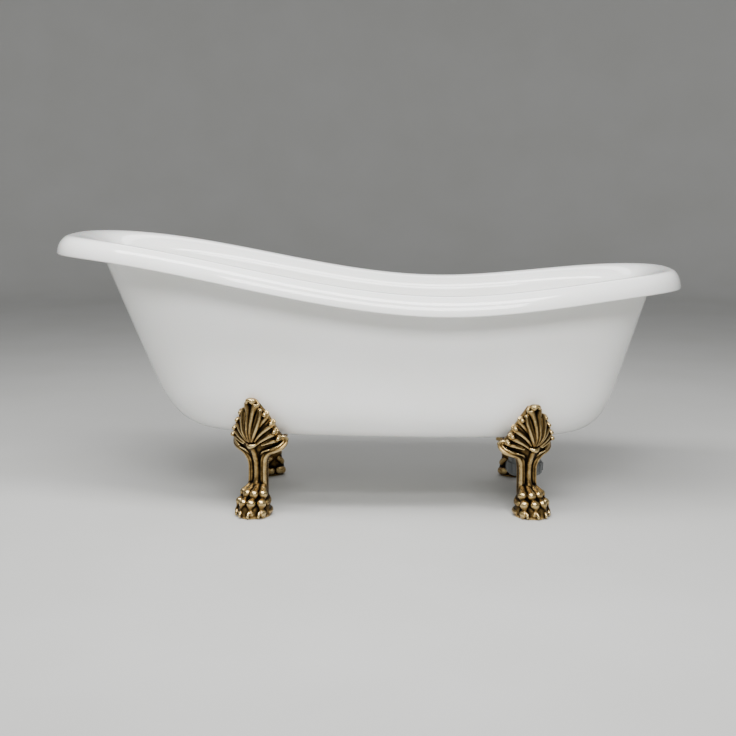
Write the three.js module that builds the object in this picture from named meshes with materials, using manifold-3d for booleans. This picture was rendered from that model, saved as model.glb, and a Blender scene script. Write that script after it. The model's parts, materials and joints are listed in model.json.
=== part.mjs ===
// A freestanding slipper bath on four cast paw feet, as a tree of separate pieces.
// Millimetres, +Z up, origin on the floor at the middle of the bath's length and width.
// The raised head end is at -X, the waste end at +X and the bather's front side at -Y.
import * as THREE from "three";
import { mergeVertices } from "three/addons/utils/BufferGeometryUtils.js";
import Module from "manifold-3d";

const wasm = await Module();
wasm.setup();

const { smoothstep, lerp, degToRad } = THREE.MathUtils;

// ---------------------------------------------------------------- driving dimensions

const LENGTH = 1700; // lip to lip
const WIDTH = 740; // lip to lip
const STATIONS = 56; // points round each ring of the two bath skins
const HEAD_POWER = 3; // superellipse power of the plan at the head end
const TAIL_POWER = 2.7; // and at the waste end

const RIM_LOW = { x: 210, z: 594.5 }; // the lowest place of the rim's crest
const HEAD_RISE = 143; // how far the crest climbs from there to the head end
const TAIL_RISE = 49; // and to the waste end
const LIP_DROP = 50; // the roll's outer edge hangs this far below the crest
const SHOULDER_DROP = 48; // the roll meets the inner wall this far below the crest
const SKIN_TOP_DROP = 38; // the outer skin ends this far below the crest, inside the roll

const UNDERSIDE = { x: 57.5, z: 204 }; // height of the outer skin's underside at mid length
const FALL = 0.0147; // the underside and the basin's floor fall this much per mm towards the waste
const FLOOR_STACK = 46.5; // underside of the outer skin to the top of the basin's floor

const BASIN_WALL = 6;
const SKIN_WALL = 5;
const WALL_SHARE = 0.72; // share of the wall that is straight before it bends into the floor

const DRAIN_X = 440;
const OVERFLOW_Z = 485;

const GAP = 0.4; // clearance between pieces that touch on the real bath

// Plan outlines of the two skins: X of the head end, X of the waste end, half width.
const LIP = { head: -LENGTH / 2, tail: LENGTH / 2, half: WIDTH / 2 };
const CREST = { head: -812, tail: 822, half: 329 };
const BASIN_TOP = { head: -715, tail: 744, half: 274 };
const BASIN_CORNER = { head: -500, tail: 572, half: 212 };
const BASIN_FLAT = { head: -400, tail: 500, half: 130 };
const SKIN_TOP = { head: -735, tail: 772, half: 292 };
const SKIN_CORNER = { head: -535, tail: 640, half: 262 };
const SKIN_FLAT = { head: -440, tail: 555, half: 190 };

// ---------------------------------------------------------------- materials

const finish = (color, roughness, metalness) =>
  new THREE.MeshStandardMaterial({ color, roughness, metalness });

const acrylic = finish("#f3f3f0", 0.12, 0);
const bronze = finish("#8c6f3c", 0.35, 1);
const steel = finish("#a9abad", 0.4, 1);
const brass = finish("#b8963f", 0.4, 1);
const rubber = finish("#1d1d1d", 0.85, 0);
const nylon = finish("#d9d7cf", 0.6, 0);
const pipe_plastic = finish("#767a7b", 0.45, 0);
const hardwood = finish("#a67a4d", 0.7, 0);
const plywood = finish("#c9a878", 0.75, 0);
const adhesive = finish("#d8d8d2", 0.7, 0);

// ---------------------------------------------------------------- shape helpers

// Turns a closed geometry's faces outwards and keeps only its positions.
function closed(geometry) {
  const bare = geometry.index ? geometry.toNonIndexed() : geometry;
  const merged = mergeVertices(
    new THREE.BufferGeometry().setAttribute("position", bare.getAttribute("position")),
    1e-3,
  );
  const place = merged.attributes.position;
  const order = merged.index.array;
  const [a, b, c] = [new THREE.Vector3(), new THREE.Vector3(), new THREE.Vector3()];
  let volume = 0;
  for (let i = 0; i < order.length; i += 3) {
    a.fromBufferAttribute(place, order[i]);
    b.fromBufferAttribute(place, order[i + 1]);
    c.fromBufferAttribute(place, order[i + 2]);
    volume += a.dot(b.cross(c));
  }
  if (volume < 0)
    for (let i = 0; i < order.length; i += 3)
      [order[i + 1], order[i + 2]] = [order[i + 2], order[i + 1]];
  return merged;
}

function toSolid(geometry) {
  const made = closed(geometry);
  return new wasm.Manifold(
    new wasm.Mesh({
      numProp: 3,
      vertProperties: made.attributes.position.array,
      triVerts: new Uint32Array(made.index.array),
    }),
  );
}

function toGeometry(solid) {
  const mesh = solid.getMesh();
  return new THREE.BufferGeometry()
    .setAttribute("position", new THREE.BufferAttribute(mesh.vertProperties, mesh.numProp))
    .setIndex(new THREE.BufferAttribute(mesh.triVerts, 1));
}

// Joins the first list of geometries and cuts the second list from them.
function join(pieces, cuts = []) {
  const joined = pieces.map(toSolid).reduce((whole, piece) => whole.add(piece));
  return toGeometry(cuts.map(toSolid).reduce((whole, cut) => whole.subtract(cut), joined));
}

// A round piece turned about Z from [radius, height] points.
function turned(points, sides = 20) {
  const profile = points.map(([radius, height]) => new THREE.Vector2(radius, height));
  return closed(new THREE.LatheGeometry(profile, sides).rotateX(Math.PI / 2));
}

function rod(radius, from, to, sides = 16) {
  return turned([[0, from], [radius, from], [radius, to], [0, to]], sides);
}

function ring(outer, inner, from, to, sides = 20) {
  return turned([[inner, from], [outer, from], [outer, to], [inner, to], [inner, from]], sides);
}

function hexBar(acrossFlats, from, to) {
  return rod(acrossFlats / 2 / Math.cos(Math.PI / 6), from, to, 6);
}

function block(sizeX, sizeY, sizeZ, x = 0, y = 0, z = 0) {
  return new THREE.BoxGeometry(sizeX, sizeY, sizeZ).translate(x, y, z);
}

function circle(radius, sides) {
  const points = Array.from({ length: sides }, (_, i) => {
    const angle = (2 * Math.PI * i) / sides;
    return new THREE.Vector2(radius * Math.cos(angle), radius * Math.sin(angle));
  });
  return new THREE.Shape(points);
}

// A round tube along a smooth curve through the points; hollow if bore is given.
function tube(points, radius, { bore = 0, sides, steps }) {
  const section = circle(radius, sides);
  if (bore) section.holes.push(circle(bore, sides));
  const path = new THREE.CatmullRomCurve3(points);
  return closed(new THREE.ExtrudeGeometry(section, { steps, extrudePath: path }));
}

// A skin over a stack of rings of equal count. A ring of one point closes the stack's end;
// with loop set, the last ring joins the first instead.
function loft(rings, loop = false) {
  const places = rings.flat().flatMap((p) => [p.x, p.y, p.z]);
  const starts = [];
  rings.reduce((start, r) => (starts.push(start), start + r.length), 0);
  const triangles = [];
  const pairs = rings.length - (loop ? 0 : 1);
  for (let level = 0; level < pairs; level++) {
    const next = (level + 1) % rings.length;
    const [low, high] = [rings[level], rings[next]];
    const around = Math.max(low.length, high.length);
    for (let i = 0; i < around; i++) {
      const j = (i + 1) % around;
      const at = (r, ringIndex, k) => starts[ringIndex] + (r.length === 1 ? 0 : k);
      const [a, b] = [at(low, level, i), at(low, level, j)];
      const [c, d] = [at(high, next, i), at(high, next, j)];
      if (a !== b) triangles.push(a, b, d);
      if (c !== d) triangles.push(a, d, c);
    }
  }
  const geometry = new THREE.BufferGeometry()
    .setAttribute("position", new THREE.Float32BufferAttribute(places, 3))
    .setIndex(triangles);
  return closed(geometry);
}

// ---------------------------------------------------------------- the bath's surface

// Height of the rim's crest: an S-shaped climb from the low place to each end.
function crestHeight(x) {
  if (x < RIM_LOW.x)
    return RIM_LOW.z + HEAD_RISE * (1 - smoothstep(x, LIP.head, RIM_LOW.x));
  return RIM_LOW.z + TAIL_RISE * smoothstep(x, RIM_LOW.x, LIP.tail);
}

const undersideHeight = (x) => UNDERSIDE.z - FALL * (x - UNDERSIDE.x);
const floorHeight = (x) => undersideHeight(x) + FLOOR_STACK;

// A plan outline: a superellipse, squarer at the head end than at the waste end.
class Outline extends THREE.Curve {
  constructor({ head, tail, half }) {
    super();
    this.middle = (head + tail) / 2;
    this.reach = (tail - head) / 2;
    this.half = half;
    this.arcLengthDivisions = 2000;
  }

  getPoint(t, target = new THREE.Vector3()) {
    const [along, across] = [Math.cos(2 * Math.PI * t), Math.sin(2 * Math.PI * t)];
    const exponent = 2 / (along < 0 ? HEAD_POWER : TAIL_POWER);
    return target.set(
      this.middle + this.reach * Math.sign(along) * Math.abs(along) ** exponent,
      this.half * Math.sign(across) * Math.abs(across) ** exponent,
      0,
    );
  }
}

// The outline grown outwards by an amount.
const grown = ({ head, tail, half }, by) => ({ head: head - by, tail: tail + by, half: half + by });

// The outline part of the way from one to another.
const between = (a, b, share) => ({
  head: lerp(a.head, b.head, share),
  tail: lerp(a.tail, b.tail, share),
  half: lerp(a.half, b.half, share),
});

// A ring of points on an outline, at a height given for each X.
function ringOn(outline, height) {
  const points = new Outline(outline).getSpacedPoints(STATIONS).slice(0, STATIONS);
  return points.map((p) => p.setZ(height(p.x)));
}

const mixRings = (a, b, share) => a.map((p, i) => p.clone().lerp(b[i], share));

// Rings of a wall that leans from its top to a corner and bends there into a flat floor.
function wallRings(top, corner, flat, wallSteps, bendSteps) {
  const start = mixRings(top, corner, WALL_SHARE);
  const rings = [];
  for (let i = 0; i <= wallSteps; i++) rings.push(mixRings(top, start, i / wallSteps));
  for (let i = 1; i <= bendSteps; i++) {
    const share = i / bendSteps;
    const [down, across] = [mixRings(start, corner, share), mixRings(corner, flat, share)];
    rings.push(mixRings(down, across, share));
  }
  return rings;
}

const floorMiddle = ({ head, tail }, height) => {
  const x = (head + tail) / 2;
  return [new THREE.Vector3(x, 0, height(x))];
};

// Rings of the rim's roll, from the inner wall's shoulder over the crest to the lip, with the
// sheet's face lowered and drawn in by the inset.
function rollRings(inset, shoulder, steps) {
  const rings = [];
  const lip = grown(LIP, -inset);
  for (let i = 1; i <= steps; i++) {
    const angle = (i / steps) * (Math.PI / 2);
    const drop = (SHOULDER_DROP - inset) * (1 - Math.sin(angle)) + inset;
    const outline = between(shoulder, CREST, 1 - Math.cos(angle));
    rings.push(ringOn(outline, (x) => crestHeight(x) - drop));
  }
  for (let i = 1; i <= steps; i++) {
    const angle = (i / steps) * (Math.PI / 2);
    const drop = (LIP_DROP - inset) * (1 - Math.cos(angle)) + inset;
    const outline = between(CREST, lip, Math.sin(angle));
    rings.push(ringOn(outline, (x) => crestHeight(x) - drop));
  }
  return rings;
}

function basinRings(inset, wallSteps, bendSteps, rollSteps) {
  const height = (x) => floorHeight(x) - inset;
  const shoulder = grown(BASIN_TOP, inset);
  const walls = wallRings(
    ringOn(shoulder, (x) => crestHeight(x) - SHOULDER_DROP),
    ringOn(grown(BASIN_CORNER, inset), height),
    ringOn(BASIN_FLAT, height),
    wallSteps,
    bendSteps,
  );
  return [floorMiddle(BASIN_FLAT, height), ...walls.reverse(), ...rollRings(inset, shoulder, rollSteps)];
}

function skinRings(inset, wallSteps, bendSteps) {
  const height = (x) => undersideHeight(x) + inset;
  const walls = wallRings(
    ringOn(grown(SKIN_TOP, -inset), (x) => crestHeight(x) - SKIN_TOP_DROP),
    ringOn(grown(SKIN_CORNER, -inset), height),
    ringOn(SKIN_FLAT, height),
    wallSteps,
    bendSteps,
  );
  return [...walls, floorMiddle(SKIN_FLAT, height)];
}

// ---------------------------------------------------------------- frames of the fittings

// The waste fittings stand square to the basin's floor.
const drainFrame = new THREE.Group();
drainFrame.position.set(DRAIN_X, 0, floorHeight(DRAIN_X));
drainFrame.rotation.y = Math.atan(FALL);

// The overflow fittings stand square to the inner wall at the waste end; local +Z points into
// the basin.
const wallTop = new THREE.Vector2(BASIN_TOP.tail, crestHeight(BASIN_TOP.tail) - SHOULDER_DROP);
const wallFoot = new THREE.Vector2(BASIN_CORNER.tail, floorHeight(BASIN_CORNER.tail));
const wallLean = Math.atan2(wallTop.x - wallFoot.x, wallTop.y - wallFoot.y);
const overflowFrame = new THREE.Group();
overflowFrame.position.set(
  wallTop.x - (wallTop.y - OVERFLOW_Z) * Math.tan(wallLean),
  0,
  OVERFLOW_Z,
);
overflowFrame.rotation.y = wallLean - Math.PI / 2;

const placed = (geometry, frame) => {
  frame.updateMatrix();
  return geometry.clone().applyMatrix4(frame.matrix);
};

// ---------------------------------------------------------------- skins

const DRAIN_HOLE = 27; // radius in the basin's floor
const OVERFLOW_HOLE = 24; // radius in the inner wall
const SERVICE_HOLE = 68; // radius in the outer skin, round the waste

function innerBasin() {
  const shape = loft([...basinRings(0, 3, 4, 4), ...basinRings(BASIN_WALL, 2, 3, 3).reverse()]);
  const drain = placed(rod(DRAIN_HOLE, -30, 30, 24), drainFrame);
  // A flat boss on the wall, faced on both sides, takes the overflow's seal and flange.
  const boss = placed(rod(36, -7.6, -1, 24), overflowFrame);
  const facing = placed(rod(38, 0, 30, 24), overflowFrame);
  const overflow = placed(rod(OVERFLOW_HOLE, -30, 30, 24), overflowFrame);
  return join([shape, boss], [facing, drain, overflow]);
}

function outerSkin(boltPlaces) {
  const shape = loft([
    floorMiddle(SKIN_FLAT, undersideHeight),
    ...skinRings(0, 3, 4).slice(0, -1).reverse(),
    ...skinRings(SKIN_WALL, 2, 4),
  ]);
  const service = placed(rod(SERVICE_HOLE, -80, 0, 24), drainFrame);
  const bolts = boltPlaces.map(({ x, y }) =>
    rod(6.5, 150, 260, 8).translate(x, y, 0),
  );
  return join([shape], [service, ...bolts]);
}

// The space that the outer skin fills, a little grown, as one solid to cut its neighbours with.
function skinSpace() {
  const margin = 1;
  const height = (x) => undersideHeight(x) - margin;
  const walls = wallRings(
    ringOn(grown(SKIN_TOP, margin), (x) => crestHeight(x) - SKIN_TOP_DROP),
    ringOn(grown(SKIN_CORNER, margin), height),
    ringOn(SKIN_FLAT, height),
    3,
    4,
  );
  const lid = [new THREE.Vector3(RIM_LOW.x, 0, RIM_LOW.z)];
  return loft([lid, ...walls, floorMiddle(SKIN_FLAT, height)]);
}

// The bead that bonds the outer skin's top edge to the underside of the roll.
function rimBead() {
  const [inside, outside] = [grown(SKIN_TOP, -SKIN_WALL), SKIN_TOP];
  const low = (x) => crestHeight(x) - SKIN_TOP_DROP + GAP;
  const high = (x) => crestHeight(x) - SKIN_TOP_DROP + 5;
  return loft([ringOn(inside, low), ringOn(outside, low), ringOn(outside, high), ringOn(inside, high)], true);
}

// ---------------------------------------------------------------- underframe

const BEARER = { length: 280, width: 40, height: 20, lift: SKIN_WALL + 1.2 };
const BOARD = { head: -360, tail: 385, half: 96, thickness: 12, lift: 27.4 };
const INSERT = { outer: 7, bore: 5.3, height: 14 };

function bearer(boltY) {
  const bar = block(BEARER.width, BEARER.length, BEARER.height, 0, 0, BEARER.height / 2);
  const holes = [-boltY, boltY].map((y) =>
    rod(INSERT.outer + GAP, -1, BEARER.height - 3, 12).translate(0, y, 0),
  );
  return join([bar], holes);
}

function baseBoard() {
  const outline = new Outline(BOARD).getSpacedPoints(28).slice(0, 28);
  const shape = new THREE.Shape(outline.map((p) => new THREE.Vector2(p.x, p.y)));
  return new THREE.ExtrudeGeometry(shape, { depth: BOARD.thickness, bevelEnabled: false });
}

// ---------------------------------------------------------------- feet

// Where each foot stands, how it is turned so that its toes point out of the bath, and how tall
// it is: the head end stands a little higher than the waste end.
const HEAD_FOOT = { x: -295, y: 230, turn: 28, stretch: 1 };
const TAIL_FOOT = { x: 421, y: 228, turn: 30, stretch: 0.95 };

// The casting's sections from sole to leaf tip: height, forward offset, half depth, half width.
const FOOT_SECTIONS = [
  [0, 24, 46, 43],
  [12, 26, 50, 47],
  [32, 23, 46, 45],
  [52, 12, 36, 37],
  [74, -2, 26, 31],
  [100, -8, 22, 28],
  [140, -9, 23, 28],
  [165, -6, 28, 37],
  [186, -2, 33, 68],
  [206, 3, 36, 84],
  [226, 9, 37, 76],
  [252, 15, 34, 62],
  [282, 21, 27, 45],
  [306, 24, 20, 27],
  [330, 26, 11, 10],
];
const FOOT_SIDES = 16;
const WRAP = 0.0045; // the sides sweep back round the bath's corner by this times the width squared
const ARM = { reach: 125, bolt: 105, width: 36, thickness: 12 };
const PAD = 4.6; // rubber between the foot's arm and the outer skin
const GLIDE = { y: -18, pad: 17, padHeight: 8, stud: 5, studTop: 46, rise: 1, nutAcross: 17, nutHeight: 6 };

function footRing([z, forward, depth, width], stretch) {
  return Array.from({ length: FOOT_SIDES }, (_, i) => {
    const angle = (2 * Math.PI * i) / FOOT_SIDES;
    const across = width * Math.cos(angle);
    const along = depth * Math.sin(angle) - forward + WRAP * across ** 2;
    return new THREE.Vector3(across, along, z * stretch);
  });
}

// The foot's own frame has its toes towards -Y.
function footFrame({ x, y, turn }, rear) {
  const frame = new THREE.Group();
  const outward = Math.sign(x) * degToRad(turn);
  frame.position.set(x, rear ? y : -y, 0);
  frame.rotation.z = rear ? Math.PI - outward : outward;
  return frame;
}

const boltPlace = (frame) => new THREE.Vector3(0, ARM.bolt, 0).applyEuler(frame.rotation).add(frame.position);
const armTop = (frame) => undersideHeight(boltPlace(frame).x) - PAD - 1;

function footCasting(foot, frame) {
  const sections = FOOT_SECTIONS.map((section) => footRing(section, foot.stretch));
  const [sole, tip] = [sections[0], sections.at(-1)];
  const cap = (r) => [r.reduce((sum, p) => sum.add(p), new THREE.Vector3()).divideScalar(r.length)];
  const body = loft([cap(sole), ...sections, cap(tip)]);
  const top = armTop(frame);
  const profile = new THREE.Shape(
    [
      [0, top],
      [ARM.reach, top],
      [ARM.reach, top - ARM.thickness],
      [60, top - ARM.thickness - 4],
      [12, 130],
      [0, 130],
    ].map(([y, z]) => new THREE.Vector2(y, z)),
  );
  const arm = new THREE.ExtrudeGeometry(profile, { depth: ARM.width, bevelEnabled: false });
  // The profile's X becomes the foot's Y, its Y becomes Z, and the depth runs across the foot.
  arm.applyMatrix4(new THREE.Matrix4().set(0, 0, 1, -ARM.width / 2, 1, 0, 0, 0, 0, 1, 0, 0, 0, 0, 0, 1));
  const ceiling = GLIDE.rise + GLIDE.padHeight + GLIDE.nutHeight + 2;
  const recess = rod(GLIDE.pad + 2.5, -5, ceiling, 16).translate(0, GLIDE.y, 0);
  const studHole = rod(GLIDE.stud + 0.6, -5, GLIDE.studTop + 3, 12).translate(0, GLIDE.y, 0);
  const boltHole = rod(5.6, top - 60, top + 20, 12).translate(0, ARM.bolt, 0);
  frame.updateMatrix();
  const skin = cutter.clone().applyMatrix4(frame.matrix.clone().invert());
  return join([body, arm], [recess, studHole, boltHole, skin]);
}

function footPad(frame) {
  const bottom = armTop(frame) + GAP;
  const pad = block(ARM.width, 44, 16, 0, ARM.bolt - 4, bottom + 8);
  frame.updateMatrix();
  const skin = cutter.clone().applyMatrix4(frame.matrix.clone().invert());
  return join([pad], [rod(5.6, bottom - 5, bottom + 30, 12).translate(0, ARM.bolt, 0), skin]);
}

function footBolt(frame) {
  const under = armTop(frame) - ARM.thickness - 3;
  const head = hexBar(16, under - 9.2, under - 2.8);
  const shank = rod(5, under - 5, armTop(frame) + 27.5, 12);
  return join([head, shank]).translate(0, ARM.bolt, 0);
}

function footWasher(frame) {
  const under = armTop(frame) - ARM.thickness - 3;
  return ring(10, 5.4, under - 2.4, under - GAP, 14).translate(0, ARM.bolt, 0);
}

function footInsert() {
  return ring(INSERT.outer, INSERT.bore, 0, INSERT.height, 12);
}

// A nylon pad moulded on a threaded stud, screwed up into the sole.
function levellingGlide() {
  const pad = turned([
    [0, GLIDE.rise],
    [GLIDE.pad - 1.5, GLIDE.rise],
    [GLIDE.pad, GLIDE.rise + 2],
    [GLIDE.pad - 2, GLIDE.rise + GLIDE.padHeight],
    [0, GLIDE.rise + GLIDE.padHeight],
  ], 20);
  return join([pad, rod(GLIDE.stud, GLIDE.rise + 3, GLIDE.studTop, 12)]).translate(0, GLIDE.y, 0);
}

function lockNut() {
  const low = GLIDE.rise + GLIDE.padHeight + GAP;
  const bore = rod(GLIDE.stud + 0.4, low - 1, low + 9, 12);
  return join([hexBar(GLIDE.nutAcross, low, low + GLIDE.nutHeight)], [bore]).translate(0, GLIDE.y, 0);
}

// ---------------------------------------------------------------- waste, in the drain's frame

const BARREL = 31; // outer radius of the waste body's barrel
const BARREL_BORE = 26.5;
const TAIL_PIPE = 20; // outer radius of its outlet
const TAIL_BORE = 17;
const PORT_Z = -29; // height of the side port that takes the overflow pipe
const PORT_REACH = 52;
const PIPE = { radius: 8.2, bore: 6.8 };
const ROCKER = { pivotX: 19, z: -47, length: 26 };

function drainFlange() {
  const dish = turned([
    [23.5, 1.2],
    [33, GAP],
    [35, GAP],
    [35, 1.4],
    [33, 2.6],
    [25.5, 2.6],
    [23.5, 1.2],
  ]);
  const neck = ring(25.4, 22.4, -18, 1.6);
  const spokes = [0, 1, 2].map((i) => block(46, 3, 4, 0, 0, -14).rotateZ((i * Math.PI) / 3));
  const hub = rod(7, -18, -10, 16);
  return join([dish, neck, hub, ...spokes], [rod(4.2, -25, 5, 12)]);
}

function wasteBody() {
  const outside = turned([
    [0, -9.2],
    [34, -9.2],
    [34, -13],
    [BARREL, -14],
    [BARREL, -54],
    [TAIL_PIPE, -60],
    [TAIL_PIPE, -86],
    [0, -86],
  ]);
  const inside = turned([
    [0, -5],
    [BARREL_BORE, -5],
    [BARREL_BORE, -53],
    [TAIL_BORE, -59],
    [TAIL_BORE, -90],
    [0, -90],
  ]);
  const port = rod(6.2, 20, PORT_REACH, 16).rotateY(Math.PI / 2).translate(0, 0, PORT_Z);
  const collar = rod(13, 20, 40, 16).rotateY(Math.PI / 2).translate(0, 0, PORT_Z);
  const portBore = rod(4.6, 10, PORT_REACH + 5, 12).rotateY(Math.PI / 2).translate(0, 0, PORT_Z);
  const pinHole = rod(1.9, -40, 40, 10).rotateX(Math.PI / 2).translate(ROCKER.pivotX, 0, ROCKER.z);
  return join([outside, collar, port], [inside, portBore, pinHole]);
}

function plugCap() {
  return turned([
    [0, 3.2],
    [27, 3.2],
    [30.5, 4.4],
    [30, 6],
    [22, 8.4],
    [10, 9.8],
    [0, 10.2],
  ]);
}

function plugStem() {
  return join([rod(3.6, -43.4, 2.8, 12), rod(9, -1.4, 2.8, 16)]);
}

function plugSeal() {
  return turned([[9.6, -1.2], [20.5, -1.2], [22, 0.6], [20.5, 2.8], [9.6, 2.8], [9.6, -1.2]]);
}

function liftRocker() {
  const eye = rod(4.2, -4.5, 4.5, 14).rotateX(Math.PI / 2);
  const arm = block(ROCKER.length, 6, 2.4, -ROCKER.length / 2, 0, 1.2);
  const hole = rod(1.9, -10, 10, 10).rotateX(Math.PI / 2);
  return join([eye, arm], [hole]).translate(ROCKER.pivotX, 0, ROCKER.z);
}

const rockerPin = () => rod(1.5, -30, 30, 10).rotateX(Math.PI / 2).translate(ROCKER.pivotX, 0, ROCKER.z);

// ---------------------------------------------------------------- trap, in the drain's frame

const OUTLET = { z: -124, reach: 150, outer: 22, bore: 18.5 };

function trapNut() {
  const grips = Array.from({ length: 8 }, (_, i) =>
    block(6, 5, 15, 29, 0, -80).rotateZ((i * Math.PI) / 4),
  );
  return join([ring(29.5, TAIL_PIPE + GAP, -88, -72), ...grips], [ring(27.4, 0.01, -95, -84.6)]);
}

const trapSeal = () => ring(27, TAIL_PIPE + GAP, -87.4, -85);

function trapBody() {
  const outside = turned([
    [0, -88],
    [27, -88],
    [27, -100],
    [46, -106],
    [46, -168],
    [0, -168],
  ], 24);
  const chamber = turned([[0, -110], [42.5, -110], [42.5, -175], [0, -175]], 24);
  const dip = ring(24, 20.6, -174, -104, 20);
  const inlet = rod(20.6, -180, -80, 20);
  const spout = rod(OUTLET.outer, 30, OUTLET.reach, 20).rotateX(-Math.PI / 2).translate(0, 0, OUTLET.z);
  const spoutBore = rod(OUTLET.bore, 26, OUTLET.reach + 5, 20)
    .rotateX(-Math.PI / 2)
    .translate(0, 0, OUTLET.z);
  const hollow = toSolid(outside).subtract(toSolid(chamber)).add(toSolid(spout));
  const bored = hollow.subtract(toSolid(spoutBore)).add(toSolid(dip)).subtract(toSolid(inlet));
  return toGeometry(bored);
}

function trapCup() {
  const wall = turned([
    [0, -188],
    [38, -188],
    [50, -180],
    [50, -150],
    [46.6, -150],
    [46.6, -178],
    [36, -184.5],
    [0, -184.5],
  ], 24);
  const grips = Array.from({ length: 10 }, (_, i) => block(5, 6, 22, 50, 0, -164).rotateZ((i * Math.PI) / 5));
  return join([wall, ...grips], [rod(46.6, -178, -145, 24)]);
}

const outletNut = () =>
  ring(29, OUTLET.outer + GAP, 118, 140, 20).rotateX(-Math.PI / 2).translate(0, 0, OUTLET.z);

// ---------------------------------------------------------------- overflow, in its own frame

const SPIGOT_Z = -17.4;

function overflowBody() {
  const cup = turned([
    [0, -25],
    [29, -25],
    [31, -23],
    [31, -10.8],
    [24.8, -10.8],
    [24.8, -22.6],
    [0, -22.6],
  ]);
  const spigot = rod(6.2, 25, 52, 16).rotateY(-Math.PI / 2).translate(0, 0, SPIGOT_Z);
  const spigotBore = rod(4.6, 18, 60, 12).rotateY(-Math.PI / 2).translate(0, 0, SPIGOT_Z);
  const collar = block(10, 24, 13, -32, 0, -17.6);
  return join([cup, spigot, collar], [spigotBore, rod(24.8, -22.6, 0, 24)]);
}

const overflowSeal = () => ring(31, 24.6, -10.4, -8);

function overflowFlange() {
  const plate = turned([[19, GAP], [34, GAP], [34, 2], [32, 3.4], [19, 3.4], [19, GAP]]);
  const neck = ring(23.4, 19, -17, 2);
  const spokes = [0, 1, 2].map((i) => block(42, 3, 3, 0, 0, -8).rotateZ((i * Math.PI) / 3));
  const hub = rod(8, -11, -5, 16);
  return join([plate, neck, hub, ...spokes], [rod(4.4, -25, 10, 12)]);
}

function overflowKnob() {
  const disc = turned([
    [0, 5],
    [27, 5],
    [29, 7],
    [29, 12],
    [26, 14.5],
    [0, 15.5],
  ]);
  const grip = block(46, 9, 12, 0, 0, 19);
  return join([disc, grip], [rod(4.2, 0, 9, 12), rod(3, 19, 40, 12)]);
}

function knobSpindle() {
  return join([rod(3.8, -21, 8.6, 12), rod(10, -20.5, -14, 16)]);
}

const knobScrew = () => join([rod(2.6, 19.4, 23, 10), hexBar(4, 22, 24.4)]);

// ---------------------------------------------------------------- pipe and cable between the skins

// A place given in a fitting's own frame, in the bath's frame.
const placeIn = (frame, x, y, z) => {
  frame.updateMatrixWorld();
  return frame.localToWorld(new THREE.Vector3(x, y, z));
};

// Both run down the gap at the waste end and then under the basin to the waste body. The start
// is down the wall from the overflow's middle, the end is that far from the drain's middle.
const runBetweenSkins = (y, start, end) => [
  placeIn(overflowFrame, -start, y, SPIGOT_Z),
  placeIn(overflowFrame, -start - 28, y, SPIGOT_Z),
  new THREE.Vector3(661, y, 366),
  new THREE.Vector3(632, y, 296),
  new THREE.Vector3(600, y, 247),
  new THREE.Vector3(556, y, 219),
  placeIn(drainFrame, end + 26, y, PORT_Z),
  placeIn(drainFrame, end, y, PORT_Z),
];

const overflowPipe = () =>
  tube(runBetweenSkins(0, 40, PORT_REACH - 11), PIPE.radius, { bore: PIPE.bore, sides: 8, steps: 14 });

const liftCable = () => tube(runBetweenSkins(18, 33, BARREL + 1), 2.5, { sides: 6, steps: 14 });

// ---------------------------------------------------------------- the assembly

const bath = new THREE.Group();
const cutter = skinSpace();

function add(parent, name, geometry, material) {
  const mesh = new THREE.Mesh(geometry, material);
  mesh.name = name;
  parent.add(mesh);
  return mesh;
}

const feet = [
  { name: "head_front", foot: HEAD_FOOT, rear: false },
  { name: "head_rear", foot: HEAD_FOOT, rear: true },
  { name: "tail_front", foot: TAIL_FOOT, rear: false },
  { name: "tail_rear", foot: TAIL_FOOT, rear: true },
].map((entry) => ({ ...entry, frame: footFrame(entry.foot, entry.rear) }));

add(bath, "inner_basin", innerBasin(), acrylic);
add(bath, "outer_skin", outerSkin(feet.map(({ frame }) => boltPlace(frame))), acrylic);
add(bath, "rim_bond_bead", rimBead(), adhesive);

const board = add(bath, "base_board", baseBoard(), plywood);
board.position.z = undersideHeight(0) + BOARD.lift;
board.rotation.y = Math.atan(FALL);

for (const end of ["head", "tail"]) {
  const place = boltPlace(feet.find(({ name }) => name === `${end}_rear`).frame);
  const height = undersideHeight(place.x) + BEARER.lift;
  add(bath, `${end}_bearer`, bearer(place.y), hardwood).position.set(place.x, 0, height);
}

for (const { name, foot, frame } of feet) {
  bath.add(frame);
  add(frame, `foot_${name}`, footCasting(foot, frame), bronze);
  add(frame, `foot_pad_${name}`, footPad(frame), rubber);
  add(frame, `foot_bolt_${name}`, footBolt(frame), steel);
  add(frame, `foot_washer_${name}`, footWasher(frame), steel);
  add(frame, `glide_${name}`, levellingGlide(), nylon);
  add(frame, `glide_nut_${name}`, lockNut(), steel);
  const place = boltPlace(frame);
  const insertHeight = undersideHeight(place.x) + BEARER.lift + 1;
  add(bath, `insert_${name}`, footInsert(), brass).position.set(place.x, place.y, insertHeight);
}

bath.add(drainFrame);
add(drainFrame, "drain_flange", drainFlange(), bronze);
add(drainFrame, "drain_gasket", ring(34, 26.2, -9, -6.4), rubber);
add(drainFrame, "waste_body", wasteBody(), pipe_plastic);
add(drainFrame, "plug_cap", plugCap(), bronze);
add(drainFrame, "plug_stem", plugStem(), brass);
add(drainFrame, "plug_seal", plugSeal(), rubber);
add(drainFrame, "lift_rocker", liftRocker(), brass);
add(drainFrame, "rocker_pin", rockerPin(), steel);
add(drainFrame, "trap_nut", trapNut(), pipe_plastic);
add(drainFrame, "trap_seal", trapSeal(), rubber);
add(drainFrame, "trap_body", trapBody(), pipe_plastic);
add(drainFrame, "trap_cup", trapCup(), pipe_plastic);
add(drainFrame, "outlet_nut", outletNut(), pipe_plastic);

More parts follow.
